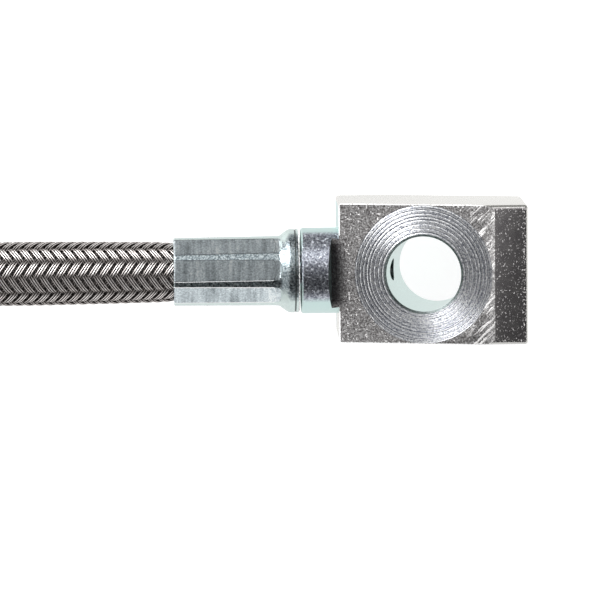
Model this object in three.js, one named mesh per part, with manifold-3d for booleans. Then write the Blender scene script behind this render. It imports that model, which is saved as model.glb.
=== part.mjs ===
// Braided brake hose: a block banjo fitting cut from rectangular bar, a crimped ferrule,
// the braided hose coiled in one turn, and a straight female line fitting on its far end.
// Millimetres. +X runs along the hose into the block, +Y along the block's height, +Z up.
// The part lies on the surface z = 0, on the back of its block and on its coil.
import * as THREE from 'three';
import { mergeVertices } from 'three/addons/utils/BufferGeometryUtils.js';
import Module from 'manifold-3d';

const wasm = await Module();
wasm.setup();

// Bar stock of the block
const BLOCK_HEIGHT = 19.0;
const BLOCK_DEPTH = 16.0;
const STOCK_EDGE = 0.6;
const END_ROUND = 0.5;

// Washer faces, milled parallel to each other and at an angle to the bar
const FACE_ANGLE = THREE.MathUtils.degToRad(12);
const FACE_SPACING = 12.2;
const FACE_RUNOUT = 1.0;

// Banjo bolt bore and the drilled port that feeds it
const BORE_DIAMETER = 10.25;
const BORE_CHAMFER = 0.3;
const BORE_TO_SHOULDER = 12.4;
const BORE_TO_FREE_END = 12.8;
const PORT_DIAMETER = 3.0;

// Turned sealing rings on both washer faces
const RING_COUNT = 8;
const RING_FIRST_RADIUS = 5.7;
const RING_PITCH = 0.51;
const RING_WIDTH = 0.24;
const RING_DEPTH = 0.08;

// Collar, shank and barbed nipple, turned in one with the block
const COLLAR_DIAMETER = 11.7;
const COLLAR_LENGTH = 5.3;
const COLLAR_CHAMFER = 0.25;
const SHANK_DIAMETER = 5.2;
const NIPPLE_INSET = 2.35;
const NIPPLE_ROOT_DIAMETER = 3.3;
const BARB_HEIGHT = 0.2;
const BARB_COUNT = 4;
const BARB_PITCH = 2.6;
const BARB_LEAD = 0.6;
const BARB_PEAK_SHARE = 0.7;
const PASSAGE_DIAMETER = 2.4;
const PORT_WALL = 1.25;

// Crimped ferrule: eight jaws, a ridge left between each two, and an uncrimped flared end
const FERRULE_LENGTH = 17.1;
const CRIMP_ACROSS_FLATS = 8.9;
const CRIMP_TAPER = 0.25;
const RIDGE_DIAMETER = 9.36;
const CRIMP_JAWS = 8;
const CRIMP_TURN = THREE.MathUtils.degToRad(8);
const FLARE_DIAMETER = 11.4;
const FLARE_LENGTH = 2.8;
const FLARE_RIM_LENGTH = 1.2;
const FLARE_GROOVE_FROM_END = 0.55;
const FLARE_GROOVE_HALF_WIDTH = 0.15;
const FLARE_GROOVE_DEPTH = 0.12;
const FLARE_EDGE = 0.15;
const CRIMP_FADE = 0.5;
const FERRULE_LIP = 0.35;
const FERRULE_BACK_WALL = 2.2;
const MOUTH_BELL_LENGTH = 1.5;
const MOUTH_WALL = 0.42;

// Layers of the hose that the ferrule grips
const LINER_WALL = 0.45;
const BRAID_WALL = 0.35;
const SLEEVE_CLEARANCE = 0.25;
const JOINT_GAP = 0.25;

// Straight female fitting on the far end
const HEX_ACROSS_FLATS = 12.7;
const HEX_LENGTH = 13.0;
const HEX_CHAMFER = 0.9;
const LINE_COLLAR_LENGTH = 3.2;
const CLIP_GROOVE_DIAMETER = 9.6;
const CLIP_GROOVE_LENGTH = 2.4;
const LINE_NECK_LENGTH = 2.2;
const SOCKET_DIAMETER = 8.6;
const SOCKET_DEPTH = 10.5;
const SEAT_DIAMETER = 6.2;
const SEAT_HEIGHT = 1.6;

// Hose and its tie
const HOSE_DIAMETER = 8.3;
const HOSE_SIDES = 12;
const COIL_RADIUS = 50.0;
const COIL_CENTRE = [-106.0, -50.0];
const COIL_START = 90;
const COIL_END = 389.2;
const COIL_STEPS = 26;
const TIE_WIDTH = 4.2;
const TIE_THICKNESS = 0.7;
const TIE_HEAD = 5.6;
const TIE_HEAD_HEIGHT = 3.4;
const TIE_CLEARANCE = 0.3;

// Hose centreline outside the coil, chosen by hand, from the caliper ferrule and to the line ferrule
const RUN_ROUTE = [
  [-24.2, 0, 8.0],
  [-32, 0, 8.0],
  [-40, 0, 8.0],
  [-48, 0, 7.98],
  [-57, 0, 7.7],
  [-66, 0, 7.15],
  [-75, 0, 6.5],
  [-83, 0, 5.85],
  [-91.3, 0, 5.2],
  [-98.5, 0, 4.55],
  [-103.5, 0, 4.22],
  [-105.8, 0, 4.15],
];
const TAIL_ROUTE = [
  [-62.45, -25.43, 4.15],
  [-63.36, -23.86, 4.16],
  [-65.1, -21.45, 4.2],
  [-68.8, -17.4, 4.35],
  [-74.7, -13.05, 4.65],
  [-82.7, -9.7, 5.0],
  [-91.3, -8.6, 5.2],
  [-99.9, -9.7, 5.45],
  [-107.9, -13.05, 5.75],
  [-114.8, -18.3, 6.05],
  [-120.05, -25.2, 6.25],
  [-123.4, -33.2, 6.34],
  [-124.4, -39.5, 6.35],
  [-124.5, -41.8, 6.35],
];
const TIE_AT = [-91.3, 5.2];
const TIE_REACH = [0, -8.6];

// Places that follow from the sizes
const ASSEMBLY_LENGTH =
  FERRULE_LENGTH + JOINT_GAP + COLLAR_LENGTH + BORE_TO_SHOULDER + BORE_TO_FREE_END;
const AXIS_HEIGHT = BLOCK_DEPTH / 2;
const FREE_END_X = ASSEMBLY_LENGTH / 2;
const BORE_X = FREE_END_X - BORE_TO_FREE_END;
const SHOULDER_X = BORE_X - BORE_TO_SHOULDER;
const COLLAR_END_X = SHOULDER_X - COLLAR_LENGTH;
const MOUTH_X = COLLAR_END_X - JOINT_GAP - FERRULE_LENGTH;
const NIPPLE_LENGTH = FERRULE_LENGTH + JOINT_GAP - NIPPLE_INSET;
const FLARE_START = FERRULE_LENGTH - FLARE_LENGTH;
const FLARE_FULL = FERRULE_LENGTH - FLARE_RIM_LENGTH;
const FLARE_GROOVE_AT = FERRULE_LENGTH - FLARE_GROOVE_FROM_END;
const LINER_INNER = NIPPLE_ROOT_DIAMETER / 2 + BARB_HEIGHT + SLEEVE_CLEARANCE;
const BRAID_INNER = LINER_INNER + LINER_WALL + SLEEVE_CLEARANCE;
const FERRULE_INNER = BRAID_INNER + BRAID_WALL + SLEEVE_CLEARANCE;

const ROUND_SEGMENTS = 32;
const RING_SEGMENTS = 30;
// Places of the crimp's corners between two ridges, as shares of a jaw
const JAW_PLACES = [-0.5, -0.39, -0.2, 0, 0.2, 0.39];
const OVERRUN = 2;

const zinc = { color: 0xb9bdc0, metalness: 0.9, roughness: 0.38 };
const steelBraid = { color: 0x8d8a86, metalness: 0.9, roughness: 0.35 };
const linerPlastic = { color: 0x2b2a29, metalness: 0.0, roughness: 0.5 };
const tiePlastic = { color: 0x1b1b1c, metalness: 0.0, roughness: 0.55 };

function named(name, geometry, finish) {
  const mesh = new THREE.Mesh(geometry, new THREE.MeshStandardMaterial(finish));
  mesh.name = name;
  return mesh;
}

// Turns a closed three.js geometry into a solid, without its seams and empty triangles
function solidOf(geometry) {
  const bare = geometry.index ? geometry.toNonIndexed() : geometry.clone();
  bare.deleteAttribute('normal');
  bare.deleteAttribute('uv');
  const merged = mergeVertices(bare, 1e-5);
  const index = merged.index.array;
  const kept = [];
  for (let i = 0; i < index.length; i += 3) {
    const [a, b, c] = [index[i], index[i + 1], index[i + 2]];
    if (a !== b && b !== c && c !== a) kept.push(a, b, c);
  }
  return new wasm.Manifold(
    new wasm.Mesh({
      numProp: 3,
      vertProperties: new Float32Array(merged.attributes.position.array),
      triVerts: new Uint32Array(kept),
    }),
  );
}

function geometryOf(solid) {
  const mesh = solid.getMesh();
  const geometry = new THREE.BufferGeometry();
  geometry.setAttribute('position', new THREE.BufferAttribute(mesh.vertProperties, 3));
  geometry.setIndex(new THREE.BufferAttribute(mesh.triVerts, 1));
  geometry.computeVertexNormals();
  return geometry;
}

// A profile of [place along the axis, radius] points turned about the X axis
function turned(profile, segments = ROUND_SEGMENTS) {
  const points = profile.map(([along, radius]) => new THREE.Vector2(radius, along));
  return new THREE.LatheGeometry(points, segments).rotateZ(-Math.PI / 2);
}

function cylinderAlongX(radius, from, to) {
  const length = to - from;
  const cylinder = new THREE.CylinderGeometry(radius, radius, length, ROUND_SEGMENTS / 2);
  return solidOf(cylinder.rotateZ(-Math.PI / 2).translate(from + length / 2, 0, 0));
}

function box(from, to) {
  const size = from.map((low, k) => to[k] - low);
  const middle = from.map((low, k) => (low + to[k]) / 2);
  return new THREE.BoxGeometry(...size).translate(...middle);
}

// Bar cut to length, with its long edges and its sawn ends rounded off
function barStock() {
  const y = BLOCK_HEIGHT / 2 - STOCK_EDGE;
  const z = BLOCK_DEPTH / 2 - STOCK_EDGE;
  const section = new THREE.Shape();
  section.absarc(y, z, STOCK_EDGE, 0, Math.PI / 2);
  section.absarc(-y, z, STOCK_EDGE, Math.PI / 2, Math.PI);
  section.absarc(-y, -z, STOCK_EDGE, Math.PI, Math.PI * 1.5);
  section.absarc(y, -z, STOCK_EDGE, Math.PI * 1.5, Math.PI * 2);
  section.closePath();
  const bar = new THREE.ExtrudeGeometry(section, {
    depth: BORE_TO_SHOULDER + BORE_TO_FREE_END - 2 * END_ROUND,
    curveSegments: 4,
    bevelThickness: END_ROUND,
    bevelSize: END_ROUND,
    bevelOffset: -END_ROUND,
    bevelSegments: 3,
  });
  const lengthAlongX = new THREE.Matrix4().makeBasis(
    new THREE.Vector3(0, 1, 0),
    new THREE.Vector3(0, 0, 1),
    new THREE.Vector3(1, 0, 0),
  );
  bar.applyMatrix4(lengthAlongX).translate(SHOULDER_X + END_ROUND, 0, 0);
  return solidOf(bar);
}

// Puts a cutter that is drawn round the bore's axis, along its own Z, at the tilted bore
function atBore(geometry) {
  return solidOf(geometry.rotateY(-FACE_ANGLE).translate(BORE_X, 0, 0));
}

// The milling cuts leave the washer faces; the front one runs out into the collar
function faceCut(side) {
  const wide = BLOCK_HEIGHT;
  const half = FACE_SPACING / 2;
  const deep = half + BLOCK_DEPTH;
  const wallAtCollar =
    (half * Math.sin(FACE_ANGLE) - BORE_TO_SHOULDER - FACE_RUNOUT) / Math.cos(FACE_ANGLE);
  const beyondEnd = BORE_TO_FREE_END * 2;
  if (side > 0) return atBore(box([wallAtCollar, -wide, half], [beyondEnd, wide, deep]));
  return atBore(box([-beyondEnd, -wide, -deep], [beyondEnd, wide, -half]));
}

function boreCut() {
  const half = FACE_SPACING / 2;
  const radius = BORE_DIAMETER / 2;
  const wide = radius + BORE_CHAMFER + OVERRUN;
  const profile = [
    [-half - OVERRUN, 0],
    [-half - OVERRUN, wide],
    [-half + BORE_CHAMFER, radius],
    [half - BORE_CHAMFER, radius],
    [half + OVERRUN, wide],
    [half + OVERRUN, 0],
  ];
  return atBore(turned(profile).rotateY(-Math.PI / 2));
}

// One V groove of the facing tool, as a ring that stands through the washer face
function ringCut(radius, side) {
  const face = FACE_SPACING / 2;
  const above = RING_DEPTH;
  const half = (RING_WIDTH / 2) * ((RING_DEPTH + above) / RING_DEPTH);
  const profile = [
    [face - RING_DEPTH, radius],
    [face + above, radius - half],
    [face + above, radius + half],
    [face - RING_DEPTH, radius],
  ];
  profile.reverse();
  const ring = turned(profile, RING_SEGMENTS).rotateY(-Math.PI / 2);
  return atBore(side > 0 ? ring : ring.rotateX(Math.PI));
}

// Nipple, shank and collar as one turned profile, from the tip towards the fitting's body
function nippleProfile(collarEnd, collarRadius, bodyEnd) {
  const root = NIPPLE_ROOT_DIAMETER / 2;
  const shank = SHANK_DIAMETER / 2;
  const tip = collarEnd - NIPPLE_LENGTH;
  const profile = [
    [tip, 0],
    [tip, root - BARB_HEIGHT],
    [tip + BARB_LEAD, root],
  ];
  for (let barb = 0; barb < BARB_COUNT; barb += 1) {
    const start = tip + BARB_LEAD + barb * BARB_PITCH;
    const peak = start + BARB_PITCH * BARB_PEAK_SHARE;
    profile.push([peak, root + BARB_HEIGHT], [peak, root], [start + BARB_PITCH, root]);
  }
  const shankStart = collarEnd - JOINT_GAP - FERRULE_BACK_WALL - JOINT_GAP;
  profile.push([shankStart, root], [shankStart, shank], [collarEnd, shank]);
  profile.push([collarEnd, collarRadius - COLLAR_CHAMFER]);
  profile.push([collarEnd + COLLAR_CHAMFER, collarRadius]);
  profile.push([bodyEnd, collarRadius], [bodyEnd, 0]);
  return profile;
}

function banjoBlock() {
  const stemEnd = SHOULDER_X + END_ROUND + OVERRUN;
  const stem = nippleProfile(COLLAR_END_X, COLLAR_DIAMETER / 2, stemEnd);
  let solid = barStock().add(solidOf(turned(stem)));
  solid = solid.subtract(faceCut(1)).subtract(faceCut(-1)).subtract(boreCut());
  const tip = COLLAR_END_X - NIPPLE_LENGTH;
  solid = solid.subtract(cylinderAlongX(PASSAGE_DIAMETER / 2, tip - OVERRUN, BORE_X));
  const portStart = COLLAR_END_X + PORT_WALL;
  solid = solid.subtract(cylinderAlongX(PORT_DIAMETER / 2, portStart, BORE_X));
  for (let ring = 0; ring < RING_COUNT; ring += 1) {
    const radius = RING_FIRST_RADIUS + ring * RING_PITCH;
    solid = solid.subtract(ringCut(radius, 1)).subtract(ringCut(radius, -1));
  }
  return geometryOf(solid).translate(0, 0, AXIS_HEIGHT);
}

// Radius of the crimped section at an angle: a flat under each jaw, a ridge between jaws
function crimpRadius(angle, acrossFlats, ridgeRadius) {
  const step = (2 * Math.PI) / CRIMP_JAWS;
  const fromFlat = ((((angle + step / 2) % step) + step) % step) - step / 2;
  return Math.min(acrossFlats / 2 / Math.cos(fromFlat), ridgeRadius);
}

// Lofted wall through stations of [place, share of crimp, outer radius, inner radius]
function ferrule() {
  const flare = FLARE_DIAMETER / 2;
  const groove = flare - FLARE_GROOVE_DEPTH;
  const ridge = RIDGE_DIAMETER / 2;
  const lip = ridge - FERRULE_LIP * 0.6;
  const rise = flare - ridge;
  const back = SHANK_DIAMETER / 2 + SLEEVE_CLEARANCE;
  const backFrom = FERRULE_LENGTH - FERRULE_BACK_WALL;
  const outer = [
    [0, 0.5, lip],
    [FERRULE_LIP * 0.4, 0.7, ridge],
    [FERRULE_LIP * 1.6, 1, ridge],
    [FLARE_START - CRIMP_FADE, 1, ridge],
    [FLARE_START, 0.6, ridge + rise * 0.1],
    [FLARE_START + CRIMP_FADE, 0.15, ridge + rise * 0.4],
    [FLARE_FULL, 0, flare],
    [FLARE_GROOVE_AT - FLARE_GROOVE_HALF_WIDTH, 0, flare],
    [FLARE_GROOVE_AT, 0, groove],
    [FLARE_GROOVE_AT + FLARE_GROOVE_HALF_WIDTH, 0, flare],
    [FERRULE_LENGTH - FLARE_EDGE, 0, flare],
    [FERRULE_LENGTH, 0, flare - FLARE_EDGE],
  ];
  const inner = [
    [FERRULE_LENGTH, back],
    [backFrom, back],
    [backFrom, FERRULE_INNER],
    [MOUTH_BELL_LENGTH, FERRULE_INNER],
    [0, lip - MOUTH_WALL],
  ];
  const rows = [];
  for (const [along, crimp, radius] of outer) {
    const taper = CRIMP_TAPER * (along / FLARE_START) * crimp;
    rows.push((angle) => {
      const pressed = crimpRadius(angle - CRIMP_TURN, CRIMP_ACROSS_FLATS + taper, radius);
      return [along, radius + (pressed - radius) * crimp];
    });
  }
  for (const [along, radius] of inner) rows.push(() => [along, radius]);
  return loft(rows, jawAngles());
}

// Angles round the ferrule, close together at each ridge and wide on each flat
function jawAngles() {
  const step = (2 * Math.PI) / CRIMP_JAWS;
  const angles = [];
  for (let jaw = 0; jaw < CRIMP_JAWS; jaw += 1) {
    for (const place of JAW_PLACES) angles.push((jaw + place) * step + CRIMP_TURN);
  }
  return angles;
}

// Closed skin through rows of points round the X axis; the last row joins the first
function loft(rows, angles) {
  const positions = [];
  for (const row of rows) {
    for (const angle of angles) {
      const [along, radius] = row(angle);
      positions.push(along, radius * Math.sin(angle), radius * Math.cos(angle));
    }
  }
  const n = angles.length;
  const index = [];
  for (let i = 0; i < rows.length; i += 1) {
    const next = (i + 1) % rows.length;
    for (let j = 0; j < n; j += 1) {
      const k = (j + 1) % n;
      const [a, b, c, d] = [i * n + j, i * n + k, next * n + k, next * n + j];
      index.push(a, c, b, a, d, c);
    }
  }
  const geometry = new THREE.BufferGeometry();
  geometry.setAttribute('position', new THREE.Float32BufferAttribute(positions, 3));
  geometry.setIndex(index);
  geometry.computeVertexNormals();
  return geometry;
}

// A layer of the hose under the ferrule, from the mouth to the back wall
function sleeve(inner, wall) {
  const from = MOUTH_BELL_LENGTH / 2;
  const to = FERRULE_LENGTH - FERRULE_BACK_WALL - JOINT_GAP;
  const profile = [
    [from, inner],
    [from, inner + wall],
    [to, inner + wall],
    [to, inner],
    [from, inner],
  ];
  return geometryOf(solidOf(turned(profile, ROUND_SEGMENTS / 2)));
}

// Ferrule and the gripped ends of the hose's liner and braid, mouth at the group's origin
function crimpedEnd(prefix) {
  const end = new THREE.Group();
  end.add(named(`${prefix}_ferrule`, ferrule(), zinc));
  end.add(named(`${prefix}_liner_end`, sleeve(LINER_INNER, LINER_WALL), linerPlastic));
  end.add(named(`${prefix}_braid_end`, sleeve(BRAID_INNER, BRAID_WALL), steelBraid));
  return end;
}

// Hexagon bar with its corners turned off at both ends
function hexagon(from, to) {
  const radius = HEX_ACROSS_FLATS / 2 / Math.cos(Math.PI / 6);
  const hex = new THREE.CylinderGeometry(radius, radius, to - from, 6);
  hex.rotateZ(-Math.PI / 2).rotateX(Math.PI / 6).translate((from + to) / 2, 0, 0);
  const chamfer = HEX_CHAMFER * Math.tan(Math.PI / 6);
  const turnedOff = turned([
    [from, 0],
    [from, radius - HEX_CHAMFER],
    [from + chamfer, radius],
    [to - chamfer, radius],
    [to, radius - HEX_CHAMFER],
    [to, 0],
  ]);
  return solidOf(hex).intersect(solidOf(turnedOff));
}

function lineFitting() {
  const collarEnd = FERRULE_LENGTH + JOINT_GAP;
  const collar = COLLAR_DIAMETER / 2;
  const groove = CLIP_GROOVE_DIAMETER / 2;
  const grooveFrom = collarEnd + LINE_COLLAR_LENGTH;
  const grooveTo = grooveFrom + CLIP_GROOVE_LENGTH;
  const hexFrom = grooveTo + LINE_NECK_LENGTH;
  const end = hexFrom + HEX_LENGTH;
  const profile = nippleProfile(collarEnd, collar, grooveFrom).slice(0, -1);
  profile.push([grooveFrom, groove], [grooveTo, groove], [grooveTo, collar]);
  profile.push([hexFrom + HEX_CHAMFER, collar], [hexFrom + HEX_CHAMFER, 0]);
  let solid = solidOf(turned(profile)).add(hexagon(hexFrom, end));
  const socket = SOCKET_DIAMETER / 2;
  const seat = SEAT_DIAMETER / 2;
  const floor = end - SOCKET_DEPTH;
  const socketCut = turned([
    [floor, 0],
    [floor + SEAT_HEIGHT, PORT_DIAMETER / 2],
    [floor, seat],
    [floor, socket],
    [end - BORE_CHAMFER, socket],
    [end + OVERRUN, socket + BORE_CHAMFER + OVERRUN],
    [end + OVERRUN, 0],
  ]);
  const passageFrom = collarEnd - NIPPLE_LENGTH - OVERRUN;
  const passage = cylinderAlongX(PASSAGE_DIAMETER / 2, passageFrom, end - BORE_CHAMFER);
  solid = solid.subtract(solidOf(socketCut)).subtract(passage);
  return geometryOf(solid);
}

// Round section swept along a curve
function tube(points, steps) {
  const section = new THREE.Shape();
  const radius = HOSE_DIAMETER / 2;
  for (let k = 0; k < HOSE_SIDES; k += 1) {
    const angle = (2 * Math.PI * k) / HOSE_SIDES;
    const at = [radius * Math.cos(angle), radius * Math.sin(angle)];
    if (k === 0) section.moveTo(...at);
    else section.lineTo(...at);
  }
  section.closePath();
  const path = new THREE.CatmullRomCurve3(points.map((p) => new THREE.Vector3(...p)));
  const geometry = new THREE.ExtrudeGeometry(section, { steps, extrudePath: path });
  return geometryOf(solidOf(geometry));
}

// The single turn of the coil, lying on the surface
function coilRoute() {
  const trim = THREE.MathUtils.radToDeg(JOINT_GAP / COIL_RADIUS);
  const from = COIL_START + trim;
  const to = COIL_END - trim;
  const count = COIL_STEPS * 3;
  const points = [];
  for (let k = 0; k <= count; k += 1) {
    const angle = THREE.MathUtils.degToRad(from + ((to - from) * k) / count);
    const x = COIL_CENTRE[0] + COIL_RADIUS * Math.cos(angle);
    const y = COIL_CENTRE[1] + COIL_RADIUS * Math.sin(angle);
    points.push([x, y, HOSE_DIAMETER / 2]);
  }
  return points;
}

// Cable tie round the run and the tail, where they lie side by side
function hoseTie() {
  const inner = HOSE_DIAMETER / 2 + TIE_CLEARANCE;
  const outer = inner + TIE_THICKNESS;
  const [high, low] = TIE_REACH;
  const loop = (path, radius) => {
    path.absarc(high, 0, radius, -Math.PI / 2, Math.PI / 2);
    path.absarc(low, 0, radius, Math.PI / 2, Math.PI * 1.5);
    path.closePath();
    return path;
  };
  const band = loop(new THREE.Shape(), outer);
  band.holes.push(loop(new THREE.Path(), inner));
  const strap = new THREE.ExtrudeGeometry(band, {
    depth: TIE_WIDTH,
    bevelEnabled: false,
    curveSegments: 16,
  });
  strap.translate(0, 0, -TIE_WIDTH / 2);
  const middle = (high + low) / 2;
  const head = box(
    [middle - TIE_HEAD / 2, inner + TIE_THICKNESS / 2, -TIE_HEAD / 2],
    [middle + TIE_HEAD / 2, inner + TIE_HEAD_HEIGHT, TIE_HEAD / 2],
  );
  const solid = solidOf(strap).add(solidOf(head));
  const acrossRun = new THREE.Matrix4().makeBasis(
    new THREE.Vector3(0, 1, 0),
    new THREE.Vector3(0, 0, 1),
    new THREE.Vector3(1, 0, 0),
  );
  return geometryOf(solid).applyMatrix4(acrossRun).translate(TIE_AT[0], 0, TIE_AT[1]);
}

const group = new THREE.Group();
group.add(named('banjo_block', banjoBlock(), zinc));

const caliperEnd = crimpedEnd('caliper');
caliperEnd.position.set(MOUTH_X, 0, AXIS_HEIGHT);
group.add(caliperEnd);

group.add(named('hose_run', tube(RUN_ROUTE, 12), steelBraid));
group.add(named('hose_coil', tube(coilRoute(), COIL_STEPS), steelBraid));
group.add(named('hose_tail', tube(TAIL_ROUTE, 14), steelBraid));
group.add(named('hose_tie', hoseTie(), tiePlastic));

const lineEnd = crimpedEnd('line');
lineEnd.add(named('line_fitting', lineFitting(), zinc));
const [tailX, tailY, tailZ] = TAIL_ROUTE[TAIL_ROUTE.length - 1];
lineEnd.position.set(tailX, tailY - JOINT_GAP, tailZ);
lineEnd.rotation.z = -Math.PI / 2;
group.add(lineEnd);

export default group;
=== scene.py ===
"""Braided brake hose with a block banjo fitting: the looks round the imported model. Metres, +Z up."""

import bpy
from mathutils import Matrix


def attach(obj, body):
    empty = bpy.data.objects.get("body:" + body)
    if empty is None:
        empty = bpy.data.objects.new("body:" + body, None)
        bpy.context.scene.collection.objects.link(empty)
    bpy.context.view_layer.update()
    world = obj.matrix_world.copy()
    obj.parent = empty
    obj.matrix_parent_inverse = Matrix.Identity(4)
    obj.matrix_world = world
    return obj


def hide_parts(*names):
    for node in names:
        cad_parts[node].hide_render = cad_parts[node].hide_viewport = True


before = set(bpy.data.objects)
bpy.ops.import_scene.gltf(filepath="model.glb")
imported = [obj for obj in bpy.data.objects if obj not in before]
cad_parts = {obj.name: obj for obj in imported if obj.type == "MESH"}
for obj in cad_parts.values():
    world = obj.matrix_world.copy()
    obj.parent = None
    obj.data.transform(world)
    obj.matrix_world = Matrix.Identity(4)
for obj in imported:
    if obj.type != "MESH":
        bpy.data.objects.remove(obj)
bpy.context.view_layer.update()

import math

import bmesh
import bpy
import numpy as np
from mathutils import Matrix, Vector

MM = 0.001

# Sizes of the block fitting, in millimetres
BLOCK_HEIGHT = 19.0
BLOCK_DEPTH = 16.0
STOCK_EDGE = 0.6
END_ROUND = 0.45
FACE_ANGLE = math.radians(12)
FACE_SPACING = 12.2
FACE_RUNOUT = 1.0
BURR_EDGE = 0.11
BORE_DIAMETER = 10.25
BORE_CHAMFER = 0.3
BORE_TO_SHOULDER = 12.6
BORE_TO_FREE_END = 12.8
PORT_DIAMETER = 3.0
RING_RADII = (5.66, 6.23, 6.8, 7.38, 7.77, 8.25, 8.73, 9.34)
RING_WIDTH = 0.2
RING_DEPTH = 0.07
# Painted light across one turned ring, at millimetres from its middle: 0.5 plain, 1 the painted
# highlight on its lip, 0 the painted shade on its other side
RING_LIGHT_AND_SHADE = ((-0.13, 0.5), (-0.05, 1.0), (0.06, 0.0), (0.14, 0.5))
# How far cutters reach from the bore, in millimetres: past the block, but for the burr's left end
CUTTER_REACH = 30
BURR_SPAN = (-16, 20)

# Collar, shank and nipple
COLLAR_DIAMETER = 11.7
COLLAR_LENGTH = 5.1
COLLAR_CHAMFER = 0.22
SHANK_DIAMETER = 5.2
NIPPLE_INSET = 2.35
NIPPLE_ROOT_DIAMETER = 3.3
BARB_HEIGHT = 0.2
BARB_COUNT = 4
BARB_PITCH = 2.6
PASSAGE_DIAMETER = 2.4
BARB_LEAD_IN = 0.6
BARB_PEAK_SHARE = 0.7
SQUARE_STEP = 0.02
PORT_WALL = 1.25
JOINT_GAP = 0.25

# Crimped ferrule
FERRULE_LENGTH = 17.1
CRIMP_JAWS = 8
CRIMP_TURN = math.radians(8)
CRIMP_FLAT = 9.2 / 2
CRIMP_TAPER = 0.125
RIDGE_RADIUS = 9.66 / 2
RIDGE_TAPER = 0.09
FLARE_RADIUS = 11.4 / 2
FLARE_START = 14.3
FLARE_FULL = 15.9
FLARE_GROOVE_AT = 16.55
FLARE_GROOVE_DEPTH = 0.12
FERRULE_BACK_WALL = 2.2
FERRULE_INNER_RADIUS = 3.4
MOUTH_BORE = [(1.3, 3.98), (0.12, 4.04), (0.03, 4.08)]
LIP_ROUND = 0.28
# Painted highlight and painted shade along the edges of the pressed flats: degrees from the edge where
# they begin to fade and are gone
JAW_LIGHT_FADE = (0.5, 1.0)
JAW_HIGHLIGHT = 0.85
JAW_SHADE = 0.75
NO_JAW_LIGHT = 9.0

# Hose and its braid
HOSE_DIAMETER = 8.3
# Width against the plain size, and where it is so, in millimetres from the ferrule's mouth
HOSE_WIDTHS = (0.965, 0.99, 1.005, 1.035, 1.062, 1.062, 1.0)
WIDTHS_AT = (0.0, 0.8, 2.0, 9.0, 17.7, 24.0, 42.0)
CARRIERS = 12
BRAID_LEAD = 17.5
WIRES = 3
WIRE_PITCH = 0.295
WIRE_RADIUS = 0.13
WEAVE_HEIGHT = 0.15
WEAVE_SQUARENESS = 2.4
WIRE_STEP = 0.42
STRAND_STEP = 0.62
STRAND_CROWN = 0.04
# Painted shade: how much narrower the painted highlight is on a strand's outer wires
OUTER_WIRE_SHADE = 0.09
BAND_PHASE = math.radians(-15.8)
FINE_LENGTH = 34.0
STRAND_PIECES = 3
LINER_CLEARANCE = 0.02
LINER_SIDES = 24
# In metres: length of a step of the liner, and how far liner and braid start inside the ferrules
LINER_STEP = 0.0011
INSIDE_FERRULE = -0.0009

# Places that follow from the sizes
FREE_END_X = (FERRULE_LENGTH + JOINT_GAP + COLLAR_LENGTH + BORE_TO_SHOULDER + BORE_TO_FREE_END) / 2
BORE_X = FREE_END_X - BORE_TO_FREE_END
SHOULDER_X = BORE_X - BORE_TO_SHOULDER
COLLAR_END_X = SHOULDER_X - COLLAR_LENGTH
MOUTH_X = COLLAR_END_X - JOINT_GAP - FERRULE_LENGTH
AXIS_HEIGHT = BLOCK_DEPTH / 2

# How the braid runs: its turn per metre, its middle radius in millimetres and the slope of its wires
BRAID_RISE = 2 * math.pi / (BRAID_LEAD * MM)
BRAID_MIDDLE = HOSE_DIAMETER / 2 - WIRE_RADIUS - WEAVE_HEIGHT
BRAID_SLOPE = math.atan(2 * math.pi * BRAID_MIDDLE / BRAID_LEAD)

# Where the look of the milled face changes along X, in metres: painted shade by the collar, a painted
# highlight on the left rim, then cutter's marks and a lighter band
LEFT_SHADE = (-0.0018, -0.0002)
LEFT_RIM_HIGHLIGHT = (-0.00138, -0.00128)
CUTTER_MARKS = (0.0152, 0.0172)
END_BAND = (0.0178, 0.0202)

# Finishes of the block's faces and of the ferrule's, in the order of their materials, with painted shade
# for the port, the bore's rim and the groove, and a painted highlight on the burr
BAR, MILLED, SEAT, BORE, COLLAR, EDGE_HIGHLIGHT, PAINTED_SHADE = range(7)
FLAT, RIDGE, GROOVE, END_EDGE = range(4)
WHITE = (1.0, 1.0, 1.0)

# Hose centreline outside the coil, in metres
RUN_ROUTE = [
    (-0.0242, 0, 0.008),
    (-0.032, 0, 0.008),
    (-0.040, 0, 0.008),
    (-0.048, 0, 0.00798),
    (-0.057, 0, 0.0077),
    (-0.066, 0, 0.00715),
    (-0.075, 0, 0.0065),
    (-0.083, 0, 0.00585),
    (-0.0913, 0, 0.0052),
    (-0.0985, 0, 0.00455),
    (-0.1035, 0, 0.00422),
    (-0.1058, 0, 0.00415),
]
TAIL_ROUTE = [
    (-0.06245, -0.02543, 0.00415),
    (-0.06336, -0.02386, 0.00416),
    (-0.0651, -0.02145, 0.0042),
    (-0.0688, -0.0174, 0.00435),
    (-0.0747, -0.01305, 0.00465),
    (-0.0827, -0.0097, 0.005),
    (-0.0913, -0.0086, 0.0052),
    (-0.0999, -0.0097, 0.00545),
    (-0.1079, -0.01305, 0.00575),
    (-0.1148, -0.0183, 0.00605),
    (-0.12005, -0.0252, 0.00625),
    (-0.1234, -0.0332, 0.00634),
    (-0.1244, -0.0395, 0.00635),
    (-0.1245, -0.0418, 0.00635),
]
COIL_RADIUS = 0.04988
COIL_CENTRE = (-0.106, -0.050)
COIL_START = math.radians(90)
COIL_END = math.radians(389.2)
COIL_POINTS = 40

# Camera, fitted to the block in the photograph
CAMERA_PLACE = (-0.02501, 0.07376, 0.61209)
CAMERA_AIM = (-0.00670, -0.00406, 0.008)
CAMERA_ROLL = math.radians(0.4806)
CAMERA_LENS = 267.5

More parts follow.
